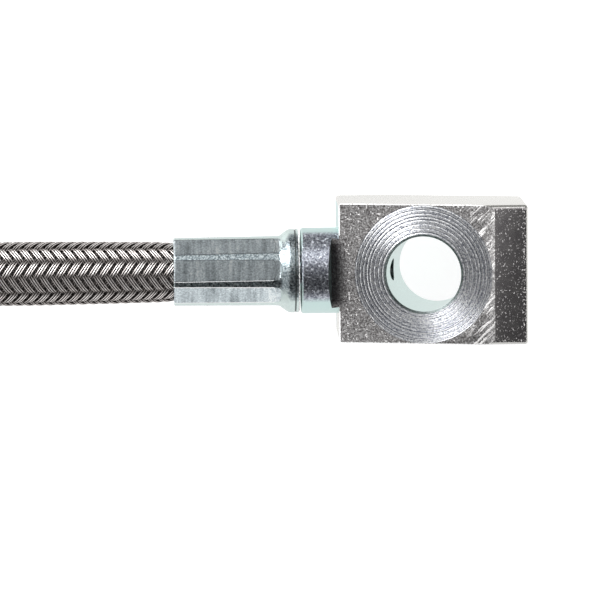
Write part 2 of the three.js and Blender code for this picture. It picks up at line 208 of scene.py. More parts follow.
# Light: the direction of the key follows from where the wires and the turned rings shine
KEY_WAY = (-0.666, 0.662, 0.342)
KEY_POWER = 3.0
KEY_GLOW = 12.0
FILL_POWER = 9.0
WORLD_DARK = 0.05
WORLD_BRIGHT = 0.95
FRONT_GLOW = 0.26
TOP_BOX_WAY = (0.0, 0.72, 0.69)
TOP_BOX_GLOW = 1.1
UNEVEN_LIGHT_WAY = (0.0, 0.26, 0.966)
FLOOR_SHADE = 0.35
FLOOR_GLOW = 0.82


def linked(name, data):
    """A new object in the scene."""
    thing = bpy.data.objects.new(name, data)
    bpy.context.collection.objects.link(thing)
    return thing


def make_camera():
    camera = linked("camera", bpy.data.cameras.new("camera"))
    camera.data.sensor_width = 36
    camera.data.lens = CAMERA_LENS
    camera.data.clip_start, camera.data.clip_end = 0.01, 10
    camera.location = CAMERA_PLACE
    back = (Vector(CAMERA_PLACE) - Vector(CAMERA_AIM)).normalized()
    right = Vector((0, 1, 0)).cross(back).normalized()
    up = back.cross(right)
    level = Matrix((right, up, back)).transposed()
    camera.rotation_euler = (level @ Matrix.Rotation(-CAMERA_ROLL, 3, "Z")).to_euler()
    bpy.context.scene.camera = camera


# Mesh helpers


def smooth(piece, sharp_angle):
    """Smooth shading, with the edges that turn more than sharp_angle left sharp."""
    shape = bmesh.new()
    shape.from_mesh(piece.data)
    for face in shape.faces:
        face.smooth = True
    for edge in shape.edges:
        edge.smooth = edge.calc_face_angle(0.0) < sharp_angle
    shape.to_mesh(piece.data)
    shape.free()


def skin(rows, closed_rows):
    """Points and faces of a surface through rings of as many points each, with caps unless it closes."""
    count, around = len(rows), len(rows[0])
    points = [point for row in rows for point in row]
    faces = []
    last = count if closed_rows else count - 1
    for i in range(last):
        here, there = i * around, ((i + 1) % count) * around
        for j in range(around):
            k = (j + 1) % around
            faces.append([here + j, here + k, there + k, there + j])
    if not closed_rows:
        faces.append(list(range(around))[::-1])
        faces.append([(count - 1) * around + j for j in range(around)])
    return points, faces


def solid(rows, closed_rows=False):
    """A closed mesh object in millimetres through rings of points, with its faces turned out."""
    points, faces = skin(rows, closed_rows)
    mesh = bpy.data.meshes.new("solid")
    mesh.from_pydata(points, [], faces)
    shape = bmesh.new()
    shape.from_mesh(mesh)
    bmesh.ops.recalc_face_normals(shape, faces=shape.faces)
    shape.to_mesh(mesh)
    shape.free()
    return linked("solid", mesh)


def ring_points(along, radius, angles):
    """Points of a circle about the X axis."""
    return [(along, radius * math.sin(angle), radius * math.cos(angle)) for angle in angles]


def turned(profile, segments=96, closed=False):
    """A profile of (place along X, radius) turned about the X axis."""
    angles = [2 * math.pi * k / segments for k in range(segments)]
    return solid([ring_points(along, radius, angles) for along, radius in profile], closed)


def block_box(low, high):
    """A solid box between two corners."""
    x0, y0, z0 = low
    x1, y1, z1 = high
    return solid([[(x, y0, z0), (x, y1, z0), (x, y1, z1), (x, y0, z1)] for x in (x0, x1)])


def combine(target, tool, operation="DIFFERENCE"):
    """Cuts, joins or meets two solids, keeps the result in the first and removes the second."""
    modifier = target.modifiers.new("combine", "BOOLEAN")
    modifier.solver = "EXACT"
    modifier.operation = operation
    modifier.object = tool
    graph = bpy.context.evaluated_depsgraph_get()
    result = bpy.data.meshes.new_from_object(target.evaluated_get(graph))
    target.modifiers.clear()
    target.data = result
    bpy.data.objects.remove(tool)
    return target


def placed(piece, matrix):
    """The solid, moved."""
    piece.data.transform(matrix)
    return piece


def dress(mesh, *materials):
    mesh.materials.clear()
    for material in materials:
        mesh.materials.append(material)


def finished(piece, name, matrix, materials, sharp_angle):
    """Names a solid, takes it from millimetres to its place in metres and gives it its materials."""
    piece.data.transform(matrix @ Matrix.Scale(MM, 4))
    piece.name = piece.data.name = name
    dress(piece.data, *materials)
    smooth(piece, sharp_angle)
    return piece


def show(piece, replaced=()):
    """Puts a piece on the root body and hides the CAD nodes that it replaces."""
    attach(piece, "root")
    if replaced:
        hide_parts(*replaced)


# Route of the hose


def curve_through(points, per_span=24):
    """A centripetal Catmull-Rom curve through the points, as a dense line."""
    p = np.array(points, float)
    p = np.vstack([2 * p[0] - p[1], p, 2 * p[-1] - p[-2]])
    line = []
    for i in range(1, len(p) - 2):
        a, b, c, d = p[i - 1 : i + 3]
        steps = [max(np.linalg.norm(q - o) ** 0.5, 1e-9) for o, q in ((a, b), (b, c), (c, d))]
        t0, t1, t2 = steps
        m1 = (b - a) / t0 - (c - a) / (t0 + t1) + (c - b) / t1
        m2 = (c - b) / t1 - (d - b) / (t1 + t2) + (d - c) / t2
        m1, m2 = m1 * t1, m2 * t1
        t = np.arange(per_span)[:, None] / per_span
        basis = (2 * t**3 - 3 * t**2 + 1, t**3 - 2 * t**2 + t, -2 * t**3 + 3 * t**2, t**3 - t**2)
        line.append(basis[0] * b + basis[1] * m1 + basis[2] * c + basis[3] * m2)
    line.append(p[-2:-1])
    return np.vstack(line)


def hose_route():
    """The whole free hose: straight run, one turn of the coil, and the tail to the far fitting."""
    coil = []
    for angle in np.linspace(COIL_START, COIL_END, COIL_POINTS)[1:-1]:
        x = COIL_CENTRE[0] + COIL_RADIUS * math.cos(angle)
        y = COIL_CENTRE[1] + COIL_RADIUS * math.sin(angle)
        coil.append((x, y, HOSE_DIAMETER / 2 * MM))
    return curve_through(RUN_ROUTE + coil + TAIL_ROUTE)


class Route:
    """The hose's centreline by length along it, with axes that turn with it and never twist."""

    def __init__(self, line, step=0.0005):
        gaps = np.linalg.norm(np.diff(line, axis=0), axis=1)
        along = np.concatenate([[0], np.cumsum(gaps)])
        self.length = along[-1]
        count = int(self.length / step) + 1
        self.at = np.linspace(0, self.length, count)
        self.line = np.stack([np.interp(self.at, along, line[:, k]) for k in range(3)], 1)
        self.tangent = np.gradient(self.line, axis=0)
        self.tangent /= np.linalg.norm(self.tangent, axis=1)[:, None]
        normal = np.array([0.0, 0.0, 1.0])
        self.normal = np.zeros_like(self.line)
        for i, tangent in enumerate(self.tangent):
            normal = normal - tangent * normal.dot(tangent)
            normal /= np.linalg.norm(normal)
            self.normal[i] = normal
        self.side = np.cross(self.tangent, self.normal)

    def sample(self, table, at):
        """Values along the route; before its start and past its end the line goes straight on."""
        return np.stack([np.interp(at, self.at, table[:, k]) for k in range(3)], -1)

    def around(self, at, angle, radius):
        """Points by length along the hose, angle round it and radius, and their outward directions."""
        beyond = at - np.clip(at, 0, self.length)
        centre = self.sample(self.line, at) + beyond[..., None] * self.sample(self.tangent, at)
        cos, sin = np.cos(angle)[..., None], np.sin(angle)[..., None]
        out = cos * self.sample(self.normal, at) + sin * self.sample(self.side, at)
        return centre + radius[..., None] * out, out


# The braid


def squeeze(at):
    """Width of the hose against its plain size: the crimp pulls it in, and it is looser further on."""
    return np.interp(at / MM, WIDTHS_AT, HOSE_WIDTHS)


def weave(angle, turn):
    """Height of a strand at an angle round the hose: over in one band, under in the next."""
    wave = np.cos(CARRIERS / 2 * (angle - BAND_PHASE))
    return turn * np.tanh(WEAVE_SQUARENESS * wave) / math.tanh(WEAVE_SQUARENESS)


def quads_of_tubes(count, length, around):
    """Faces of open tubes: how many, with how many rings each, of how many points."""
    i, j = np.meshgrid(np.arange(length - 1), np.arange(around), indexing="ij")
    k = (j + 1) % around
    one = np.stack([i * around + j, (i + 1) * around + j, (i + 1) * around + k, i * around + k], -1)
    one = one.reshape(-1, 4)
    shift = np.arange(count)[:, None, None] * length * around
    return (one[None] + shift).reshape(-1, 4)


def quick_mesh(name, points, quads, material):
    """A smooth mesh piece from large arrays."""
    mesh = bpy.data.meshes.new(name)
    mesh.vertices.add(len(points))
    mesh.vertices.foreach_set("co", points.astype(np.float32).ravel())
    mesh.loops.add(quads.size)
    mesh.loops.foreach_set("vertex_index", quads.astype(np.int32).ravel())
    mesh.polygons.add(len(quads))
    mesh.polygons.foreach_set("loop_start", np.arange(0, quads.size, 4, dtype=np.int32))
    mesh.polygons.foreach_set("use_smooth", np.ones(len(quads), bool))
    mesh.update(calc_edges=True)
    mesh.materials.append(material)
    return linked(name, mesh)


def carriers():
    """Way round the hose of each strand, and its angle at the start."""
    for turn in (1, -1):
        for carrier in range(CARRIERS):
            yield turn, 2 * math.pi * carrier / CARRIERS + (0 if turn > 0 else math.pi / CARRIERS)


def cover_at(angle, turn):
    """How far a strand is over the others, from -1 to 1."""
    return np.cos(CARRIERS / 2 * (angle - BAND_PHASE)) * turn


def write_values(piece, **layers):
    """Values at a piece's points, for its material."""
    for label, values in layers.items():
        layer = piece.data.attributes.new(label, "FLOAT", "POINT")
        layer.data.foreach_set("value", np.array(values, np.float32).ravel())


def braid_piece(name, tubes, material, **layers):
    """A piece from tubes, each an array of rings of points, with values at the points."""
    tubes = np.array(tubes)
    piece = quick_mesh(name, tubes.reshape(-1, 3), quads_of_tubes(*tubes.shape[:3]), material)
    write_values(piece, **layers)
    return piece


def wire_braid(name, route, start, end, material):
    """Every wire of the braid as a round tube, between two lengths along the hose."""
    step = WIRE_STEP * math.cos(BRAID_SLOPE) * MM
    at = np.linspace(start, end, int((end - start) / step) + 1)
    sides = 6
    corner = 2 * np.pi * np.arange(sides) / sides
    tubes, crests, covers = [], [], []
    for turn, first in carriers():
        for wire in range(WIRES):
            across = (wire - (WIRES - 1) / 2) * WIRE_PITCH
            shift = across / math.sin(BRAID_SLOPE) * MM
            angle = first + turn * BRAID_RISE * (at - shift)
            crown = STRAND_CROWN * (across / WIRE_PITCH) ** 2
            radius = BRAID_MIDDLE - crown + WEAVE_HEIGHT * weave(angle, turn)
            radius = radius * squeeze(at) * MM
            centre, out = route.around(at, angle, radius)
            along = np.gradient(centre, axis=0)
            along /= np.linalg.norm(along, axis=1)[:, None]
            out = out - along * (out * along).sum(1)[:, None]
            out /= np.linalg.norm(out, axis=1)[:, None]
            side = np.cross(along, out)
            tubes.append(
                centre[:, None]
                + WIRE_RADIUS * MM * np.cos(corner)[None, :, None] * out[:, None]
                + WIRE_RADIUS * MM * np.sin(corner)[None, :, None] * side[:, None]
            )
            # Painted shade on a strand's outer wires: their painted highlight is narrower
            dim = OUTER_WIRE_SHADE if wire in (0, WIRES - 1) else 0
            crests.append(np.tile(np.cos(corner) - dim, (len(at), 1)))
            covers.append(np.tile(cover_at(angle, turn)[:, None], (1, sides)))
    return braid_piece(name, tubes, material, crest=crests, cover=covers)


def strand_braid(name, route, start, end, material):
    """The braid's strands as flat bundles; their wires are in the material."""
    step = STRAND_STEP * math.cos(BRAID_SLOPE) * MM
    at = np.linspace(start, end, int((end - start) / step) + 1)
    half = WIRES * WIRE_PITCH / 2
    section = [(-1.0, 0.0), (-0.75, 0.85), (-0.25, 1.0), (0.25, 1.0), (0.75, 0.85), (1.0, 0.0)]
    section.append((0.0, -0.9))
    tubes, wires, covers = [], [], []
    for turn, first in carriers():
        ring, cover = [], []
        for across, height in section:
            shift = across * half / math.sin(BRAID_SLOPE) * MM
            angle = first + turn * BRAID_RISE * (at - shift)
            cover.append(cover_at(angle, turn))
            radius = BRAID_MIDDLE + height * WIRE_RADIUS + WEAVE_HEIGHT * weave(angle, turn)
            point, _ = route.around(at, angle, radius * MM * squeeze(at))
            ring.append(point)
        tubes.append(np.stack(ring, 1))
        covers.append(np.stack(cover, 1))
        wires.append(np.tile([(across + 1) * WIRES / 2 for across, _ in section], (len(at), 1)))
    return braid_piece(name, tubes, material, wire=wires, cover=covers)


# Materials


def new_material(name, metallic, roughness, color):
    material = bpy.data.materials.new(name)
    material.use_nodes = True
    shader = material.node_tree.nodes["Principled BSDF"]
    shader.inputs["Metallic"].default_value = metallic
    shader.inputs["Roughness"].default_value = roughness
    shader.inputs["Base Color"].default_value = (*color, 1)
    return material, material.node_tree, shader


def give(shader, name, socket):
    """Links a socket to one of the shader's inputs."""
    shader.id_data.links.new(socket, shader.inputs[name])


def node(tree, kind, **values):
    made = tree.nodes.new("ShaderNode" + kind)
    for key, value in values.items():
        if key in made.inputs:
            made.inputs[key].default_value = value
        else:
            setattr(made, key, value)
    return made


def noise(tree, scale, detail=3, stretch=(1, 1, 1), vector=None):
    """Noise in the row frame; scale is in features per metre."""
    if vector is None:
        vector = node(tree, "TexCoord").outputs["Object"]
    mapping = node(tree, "Mapping", Scale=stretch)
    tree.links.new(vector, mapping.inputs["Vector"])
    texture = node(tree, "TexNoise", Scale=scale, Detail=detail)
    tree.links.new(mapping.outputs[0], texture.inputs["Vector"])
    return texture.outputs["Fac"]


def remap(tree, value, low, high, to_low=0, to_high=1):
    made = node(tree, "MapRange")
    for key, number in (("From Min", low), ("From Max", high), ("To Min", to_low), ("To Max", to_high)):
        made.inputs[key].default_value = number
    tree.links.new(value, made.inputs["Value"])
    return made.outputs["Result"]


def ramp(tree, value, stops):
    made = node(tree, "ValToRGB")
    elements = made.color_ramp.elements
    while len(elements) < len(stops):
        elements.new(0.5)
    for element, (place, color) in zip(elements, stops):
        element.position = place
        element.color = (*color, 1)
    tree.links.new(value, made.inputs["Fac"])
    return made.outputs["Color"]


def bump(tree, shader, height, distance, strength=1.0):
    made = node(tree, "Bump", Distance=distance, Strength=strength)
    tree.links.new(height, made.inputs["Height"])
    give(shader, "Normal", made.outputs["Normal"])


def maths(tree, operation, one, other=None):
    """One sum of two sockets or numbers."""
    made = node(tree, "Math", operation=operation)
    for k, value in enumerate((one, other)):
        if isinstance(value, (int, float)):
            made.inputs[k].default_value = value
        elif value is not None:
            tree.links.new(value, made.inputs[k])
    return made.outputs[0]


def times(tree, one, other):
    return maths(tree, "MULTIPLY", one, other)


def plus(tree, one, other):
    return maths(tree, "ADD", one, other)


def vectors(tree, operation, one, other=None, output=0):
    made = node(tree, "VectorMath", operation=operation)
    for k, value in enumerate((one, other)):
        if isinstance(value, (tuple, Vector)):
            made.inputs[k].default_value = value
        elif value is not None:
            tree.links.new(value, made.inputs[k])
    return made.outputs[output]


def blend(tree, share, one, other):
    """From one colour to the other as the share goes from 0 to 1; each is a socket or three numbers."""
    made = node(tree, "Mix", data_type="RGBA")
    tree.links.new(share, made.inputs[0])
    for k, value in ((6, one), (7, other)):
        if isinstance(value, tuple):
            made.inputs[k].default_value = (*value, 1)
        else:
            tree.links.new(value, made.inputs[k])
    return made.outputs[2]


def parts_of(tree, vector):
    made = node(tree, "SeparateXYZ")
    tree.links.new(vector, made.inputs[0])
    return made.outputs


def row_place(tree):
    """Place in the row frame, in metres, and its three parts."""
    place = node(tree, "TexCoord").outputs["Object"]
    return place, parts_of(tree, place)


def span_of(tree, value, low, high, soft):
    """1 between two values, 0 outside them, with soft ends."""
    up = remap(tree, value, low - soft, low + soft)
    down = remap(tree, value, high - soft, high + soft, 1, 0)
    return times(tree, up, down)


def attribute(tree, name):
    return node(tree, "Attribute", attribute_name=name).outputs["Fac"]


def facing(tree):
    return node(tree, "NewGeometry").outputs["Normal"]


def turned_to(tree, way, low, high, to_low=0, to_high=1):
    """From one value to another as the surface's cosine with a direction goes from low to high."""
    cosine = vectors(tree, "DOT_PRODUCT", facing(tree), way, output=1)
    return remap(tree, cosine, low, high, to_low, to_high)


def in_uneven_light(tree):
    """1 on turned surfaces that look up into the uneven light, 0 on the others."""
    return turned_to(tree, UNEVEN_LIGHT_WAY, 0.55, 0.68)


def grainy(name, metallic, roughness, color, grain, stops, relief=None):
    """A finish that follows a noise: grain is its scale and detail, relief its depth and strength."""
    material, tree, shader = new_material(name, metallic, roughness, color)
    fine = noise(tree, *grain)
    give(shader, "Base Color", ramp(tree, fine, stops))
    if relief:
        bump(tree, shader, fine, *relief)
    return material


def bar_material():
    """Bar as rolled and plated: smooth, with small pale pits, more of them along its edges. Its sides
    carry painted light: a pale cream painted reflection, turning to painted shade where they face -Y.
    """
    material, tree, shader = new_material("zinc_bar", 1.0, 0.26, (0.8, 0.8, 0.77))
    _, parts = row_place(tree)
    end = span_of(tree, parts[0], 0.0, (FREE_END_X - 0.75) * MM, 0.0004)
    inner = span_of(tree, parts[1], -0.0088, 0.0088, 0.0004)
    rim = maths(tree, "SUBTRACT", 1, times(tree, end, inner))
    speck = plus(tree, noise(tree, 5200, 4, (1.0, 0.7, 1.0)), times(tree, rim, 0.07))
    pits = remap(tree, speck, 0.6, 0.74, 0, 0.85)
    cloud = remap(tree, noise(tree, 700, 3), 0.35, 0.7, 0.55, 1)
    smooth_tone = blend(tree, cloud, (0.34, 0.31, 0.34), (0.7, 0.67, 0.67))
    upright = turned_to(tree, (0.0, 0.0, 1.0), 0.8, 0.95)
    # Painted light by facing: sides pale cream, painted shade where they face -Y; the front face keeps
    # its own cloudy tone
    away = turned_to(tree, (0.0, 1.0, 0.0), -0.6, -0.2, 1, 0)
    side = blend(tree, away, (0.87, 0.86, 0.82), (0.62, 0.62, 0.6))
    plain = blend(tree, upright, side, smooth_tone)
    pits = times(tree, pits, remap(tree, upright, 0, 1, 0.06, 1))
    give(shader, "Base Color", blend(tree, pits, plain, (1.0, 0.99, 0.98)))
    give(shader, "Roughness", remap(tree, pits, 0, 1, 0.26, 0.7))
    give(shader, "Metallic", remap(tree, pits, 0, 1, 1, 0.55))
    bump(tree, shader, speck, 0.00002, 0.4)
    return material


def milled_material():
    """Milled face: warm grey grain, painted shade by the collar, a painted highlight along its left rim,
    cutter's marks towards the free end.
    """
    material, tree, shader = new_material("zinc_milled", 1.0, 0.42, (0.6, 0.59, 0.58))
    place, parts = row_place(tree)
    grain = noise(tree, 4400, 5)
    fleck = remap(tree, noise(tree, 3600, 4), 0.59, 0.7, 0, 0.8)
    turned_place = node(tree, "Mapping", Rotation=(0, 0, math.radians(-48)))
    tree.links.new(place, turned_place.inputs["Vector"])
    marks = noise(tree, 4600, 3, (0.07, 1.0, 0.2), vector=turned_place.outputs[0])
    near_end = remap(tree, parts[0], *CUTTER_MARKS)
    marks = times(tree, remap(tree, marks, 0.52, 0.62), near_end)
    light = maths(tree, "MAXIMUM", fleck, times(tree, marks, 0.7))
    band = times(tree, remap(tree, parts[0], *END_BAND, 0, 0.5), remap(tree, grain, 0.3, 0.6, 0.3, 1))
    light = maths(tree, "MAXIMUM", light, band)
    stops = [(0.34, (0.18, 0.17, 0.17)), (0.5, (0.52, 0.5, 0.5)), (0.64, (0.88, 0.87, 0.87))]
    grey = ramp(tree, grain, stops)
    shade = blend(tree, light, grey, (1.0, 0.99, 0.98))
    # Painted shade on the milled face beside the collar
    collar_painted_shade = span_of(tree, parts[1], -0.0044, 0.0044, 0.0005)
    collar_painted_shade = times(tree, collar_painted_shade, remap(tree, parts[0], *LEFT_SHADE, 0.88, 0))
    shade = blend(tree, collar_painted_shade, shade, (0.03, 0.025, 0.03))
    # Painted highlight: a white matt line along the face's left rim, beside the collar's notch
    beside = maths(tree, "GREATER_THAN", maths(tree, "ABSOLUTE", parts[1]), 0.0052)
    left_rim_highlight = times(tree, remap(tree, parts[0], *LEFT_RIM_HIGHLIGHT, 1, 0), beside)
    give(shader, "Base Color", blend(tree, left_rim_highlight, shade, WHITE))
    light = maths(tree, "MAXIMUM", light, left_rim_highlight)
    give(shader, "Roughness", remap(tree, light, 0, 1, 0.42, 0.62))
    give(shader, "Metallic", remap(tree, light, 0, 1, 1, 0.5))
    bump(tree, shader, plus(tree, grain, times(tree, marks, 0.8)), 0.00003, 0.7)
    return material


def turned_material():
    """Turned washer seat: fine circular marks about the bore, so light sweeps across it in two fans.
    Each ring has a painted highlight on its lip and painted shade on its other side.
    """
    material, tree, shader = new_material("zinc_turned", 1.0, 0.5, (0.8, 0.81, 0.83))
    place, _ = row_place(tree)
    axis = (-math.sin(FACE_ANGLE), 0.0, math.cos(FACE_ANGLE))
    from_bore = vectors(tree, "SUBTRACT", place, (BORE_X * MM, 0.0, AXIS_HEIGHT * MM))
    along = vectors(tree, "MULTIPLY", vectors(tree, "DOT_PRODUCT", from_bore, axis, output=1), axis)
    away = vectors(tree, "SUBTRACT", from_bore, along)
    give(shader, "Tangent", vectors(tree, "NORMALIZE", away))
    shader.inputs["Anisotropic"].default_value = 0.85
    radius = vectors(tree, "LENGTH", away, output=1)
    ripple = node(tree, "TexNoise", noise_dimensions="1D", Scale=1.0, Detail=3)
    tree.links.new(times(tree, radius, 9000), ripple.inputs["W"])
    lines = ripple.outputs["Fac"]
    speckle = noise(tree, 4600, 4)
    tone = plus(tree, times(tree, lines, 0.5), times(tree, speckle, 0.5))
    shade = ramp(tree, tone, [(0.38, (0.12, 0.13, 0.18)), (0.5, (0.66, 0.68, 0.73)), (0.56, WHITE)])
    # Painted light along each ring: a matt painted highlight on its lip, broken by noise, and painted
    # shade beside it
    inner, outer = RING_RADII[0] - 0.5, RING_RADII[-1] + 0.5
    stops = []
    for ring in RING_RADII:
        for off, level in RING_LIGHT_AND_SHADE:
            stops.append(((ring + off - inner) / (outer - inner), (level, level, level)))
    line = ramp(tree, remap(tree, radius, inner * MM, outer * MM), stops)
    broken = remap(tree, noise(tree, 2600, 3), 0.42, 0.56, 0.25, 1)
    pale = times(tree, remap(tree, line, 0.5, 1, 0, 0.9), broken)
    give(shader, "Metallic", remap(tree, pale, 0, 0.9, 1, 0.5))
    shade = blend(tree, pale, shade, WHITE)
    shade = blend(tree, remap(tree, line, 0.5, 0, 0, 0.7), shade, (0.06, 0.07, 0.09))
    give(shader, "Base Color", shade)
    bump(tree, shader, tone, 0.00003, 0.5)
    return material


def collar_material():
    """Turned collar with painted light: where it faces away from the uneven light it is smooth and pale
    mint, a painted reflection; where it faces into it, darker bluish grain with bright flecks as painted
    glints.
    """
    material, tree, shader = new_material("zinc_collar", 1.0, 0.28, (0.75, 0.8, 0.82))
    grain = noise(tree, 3700, 5)
    upright = in_uneven_light(tree)
    # Painted glints: bright flecks only where the collar faces up into the uneven light
    fleck = times(tree, remap(tree, noise(tree, 3100, 4), 0.56, 0.64), upright)
    stops = [(0.36, (0.19, 0.2, 0.25)), (0.5, (0.38, 0.4, 0.46)), (0.62, (0.62, 0.66, 0.73))]
    # Painted light and shade: pale mint where the collar faces away from the uneven light, darker grain
    # where it faces into it
    shade = blend(tree, upright, (0.63, 0.79, 0.77), ramp(tree, grain, stops))
    give(shader, "Base Color", blend(tree, fleck, shade, (0.9, 0.93, 1.0)))
    give(shader, "Roughness", remap(tree, fleck, 0, 1, 0.33, 0.5))
    bump(tree, shader, grain, 0.00003, 0.7)
    return material


def jaw_edge_light(tree, below):
    """Thin line of painted light along the edges of the pressed flats: a painted highlight below the
    hose's axis, painted shade above it.
    """
    off_edge = maths(tree, "ABSOLUTE", attribute(tree, "jaw_edge"))
    line = remap(tree, off_edge, *JAW_LIGHT_FADE, JAW_HIGHLIGHT if below else JAW_SHADE, 0)
    low, high = (0.0, -0.05) if below else (0.05, 0.1)
    return times(tree, line, remap(tree, parts_of(tree, facing(tree))["Y"], low, high))


def paint_jaw_edge_light(tree, shader, shade):
    """Colours a ferrule, with the painted light along its jaw lines; the painted highlights are matt, so
    they mirror nothing dark.
    """
    pale = jaw_edge_light(tree, below=True)
    give(shader, "Metallic", remap(tree, pale, 0, JAW_HIGHLIGHT, 1, 0.1))
    shade = blend(tree, pale, shade, WHITE)
    shade = blend(tree, jaw_edge_light(tree, below=False), shade, (0.1, 0.11, 0.12))
    give(shader, "Base Color", shade)


def ferrule_material():
    """Crimped flats with the marks of the jaws across them."""
    material, tree, shader = new_material("ferrule_plate", 1.0, 0.34, (0.68, 0.7, 0.72))
    streaks = noise(tree, 1500, 5, (1.0, 0.1, 0.1))
    patches = noise(tree, 420, 2, (1.0, 0.5, 0.5))
    grain = noise(tree, 4800, 3)
    tone = plus(tree, times(tree, streaks, 0.4), times(tree, patches, 0.25))
    tone = plus(tree, tone, times(tree, grain, 0.35))
    stops = [(0.38, (0.27, 0.31, 0.33)), (0.48, (0.51, 0.57, 0.6))]
    stops += [(0.56, (0.74, 0.82, 0.85)), (0.61, (0.95, 1.0, 1.0))]
    paint_jaw_edge_light(tree, shader, ramp(tree, tone, stops))
    give(shader, "Roughness", remap(tree, grain, 0.3, 0.7, 0.28, 0.42))
    bump(tree, shader, plus(tree, streaks, times(tree, grain, 0.3)), 0.00003, 0.5)
    return material


def ridge_material():
    """The tube's own skin between the jaws and on the flare: grainier than the pressed flats. Its colour
    is painted light: pale where it faces away from the uneven light, darker grain where it faces into
    it.
    """
    material, tree, shader = new_material("ferrule_ridge", 1.0, 0.36, (0.8, 0.84, 0.86))
    grain = noise(tree, 3900, 5)
    upright = in_uneven_light(tree)
    stops = [(0.34, (0.13, 0.155, 0.17)), (0.5, (0.29, 0.34, 0.36)), (0.66, (0.56, 0.62, 0.63))]
    # Painted light and shade by facing: pale away from the uneven light, darker grain facing into it
    shade = blend(tree, upright, (0.7, 0.8, 0.78), ramp(tree, grain, stops))
    paint_jaw_edge_light(tree, shader, shade)
    give(shader, "Roughness", remap(tree, noise(tree, 3000, 3), 0.35, 0.65, 0.26, 0.5))
    bump(tree, shader, grain, 0.00004, 0.8)
    return material


def paint_wire_light_and_shade(tree, shader, line, gap_shade, dim, bright):
    """Wires with painted light: a painted highlight along a line, painted shade in the gaps and where
    they dive under the others.
    """
    light = times(tree, line, remap(tree, attribute(tree, "cover"), 0.1, 0.75, 0.25, 1))
    tone = ramp(tree, noise(tree, 900, 2), [(0.3, dim), (0.7, bright)])
    give(shader, "Base Color", blend(tree, light, gap_shade, tone))


def wire_material():
    """Round wires: the painted highlight runs along their crests."""
    material, tree, shader = new_material("braid", 0.85, 0.34, (0.7, 0.68, 0.67))
    line = remap(tree, attribute(tree, "crest"), 0.6, 0.78)
    paint_wire_light_and_shade(tree, shader, line, (0.09, 0.075, 0.07), (0.92, 0.86, 0.83), (1.0, 0.97, 0.95))
    return material


def strand_material():
    """The same wires on a flat strand, their painted highlights drawn by their place across it."""
    material, tree, shader = new_material("braid_strands", 0.85, 0.34, (0.62, 0.6, 0.58))
    wave = maths(tree, "COSINE", times(tree, attribute(tree, "wire"), 2 * math.pi))
    height = remap(tree, wave, -1, 1, 1, 0)
    line = remap(tree, height, 0.55, 0.8)
    paint_wire_light_and_shade(tree, shader, line, (0.07, 0.06, 0.055), (0.86, 0.8, 0.78), (0.97, 0.93, 0.91))
    bump(tree, shader, height, 0.0001, 0.8)
    return material


def fitting_material():
    """Far end fitting: plated steel, turned and milled, with a fine even grain."""
    material, tree, shader = new_material("zinc_fitting", 1.0, 0.36, (0.56, 0.57, 0.57))
    grain = noise(tree, 4200, 5)
    fleck = remap(tree, noise(tree, 3400, 4), 0.6, 0.7, 0, 0.7)
    stops = [(0.34, (0.3, 0.31, 0.33)), (0.5, (0.5, 0.52, 0.53)), (0.66, (0.66, 0.68, 0.68))]
    shade = blend(tree, fleck, ramp(tree, grain, stops), (0.85, 0.86, 0.86))
    give(shader, "Base Color", shade)
    give(shader, "Roughness", remap(tree, fleck, 0, 0.7, 0.34, 0.55))
    bump(tree, shader, grain, 0.00003, 0.6)
    return material


def tie_material():
    """Black nylon."""
    material, tree, shader = new_material("tie", 0.0, 0.42, (0.02, 0.02, 0.021))
    give(shader, "Roughness", remap(tree, noise(tree, 1800, 3), 0.3, 0.7, 0.34, 0.52))
    bump(tree, shader, noise(tree, 3200, 3), 0.00002, 0.5)
    return material


# Block fitting


def bar_stock():
    """Bar with rounded long edges and rounded ends, along X, from the shoulder to the free end."""
    corner_steps = 6

    def section(x, inset):
        y, z = BLOCK_HEIGHT / 2 - STOCK_EDGE, BLOCK_DEPTH / 2 - STOCK_EDGE
        radius = STOCK_EDGE - inset
        ring = []
        for k, (sy, sz) in enumerate(((1, 1), (-1, 1), (-1, -1), (1, -1))):
            for j in range(corner_steps + 1):
                angle = math.pi / 2 * (k + j / corner_steps)
                ring.append((x, sy * y + radius * math.cos(angle), sz * z + radius * math.sin(angle)))
        return ring

    rows = []
    steps = 5
    for end, way in ((SHOULDER_X, 1), (FREE_END_X, -1)):
        for k in range(steps + 1):
            angle = math.pi / 2 * k / steps
            x = end + way * END_ROUND * (1 - math.sin(angle))
            rows.append(section(x, END_ROUND * (1 - math.cos(angle))))
    return solid(sorted(rows, key=lambda row: row[0][0]))


def at_bore():
    """From a cutter drawn about the bore's axis, along its own Z, to the tilted bore."""
    return Matrix.Translation((BORE_X, 0, 0)) @ Matrix.Rotation(-FACE_ANGLE, 4, "Y")


def nipple_profile(collar_end, collar_radius, body_end):
    """Outline of the barbed nipple, the shank and the collar, from the nipple's tip into the block."""
    root, shank = NIPPLE_ROOT_DIAMETER / 2, SHANK_DIAMETER / 2
    tip = collar_end - (FERRULE_LENGTH + JOINT_GAP - NIPPLE_INSET)
    bore = PASSAGE_DIAMETER / 2
    profile = [(tip, bore), (tip, root - BARB_HEIGHT), (tip + BARB_LEAD_IN, root)]
    for barb in range(BARB_COUNT):
        start = tip + BARB_LEAD_IN + barb * BARB_PITCH
        peak = start + BARB_PITCH * BARB_PEAK_SHARE
        profile += [(peak, root + BARB_HEIGHT), (peak + SQUARE_STEP, root), (start + BARB_PITCH, root)]
    shank_start = collar_end - JOINT_GAP - FERRULE_BACK_WALL - JOINT_GAP
    profile += [(shank_start, root), (shank_start + SQUARE_STEP, shank), (collar_end, shank)]
    profile += [(collar_end + 0.01, collar_radius - COLLAR_CHAMFER)]
    profile += [(collar_end + COLLAR_CHAMFER, collar_radius), (body_end, collar_radius)]
    return profile


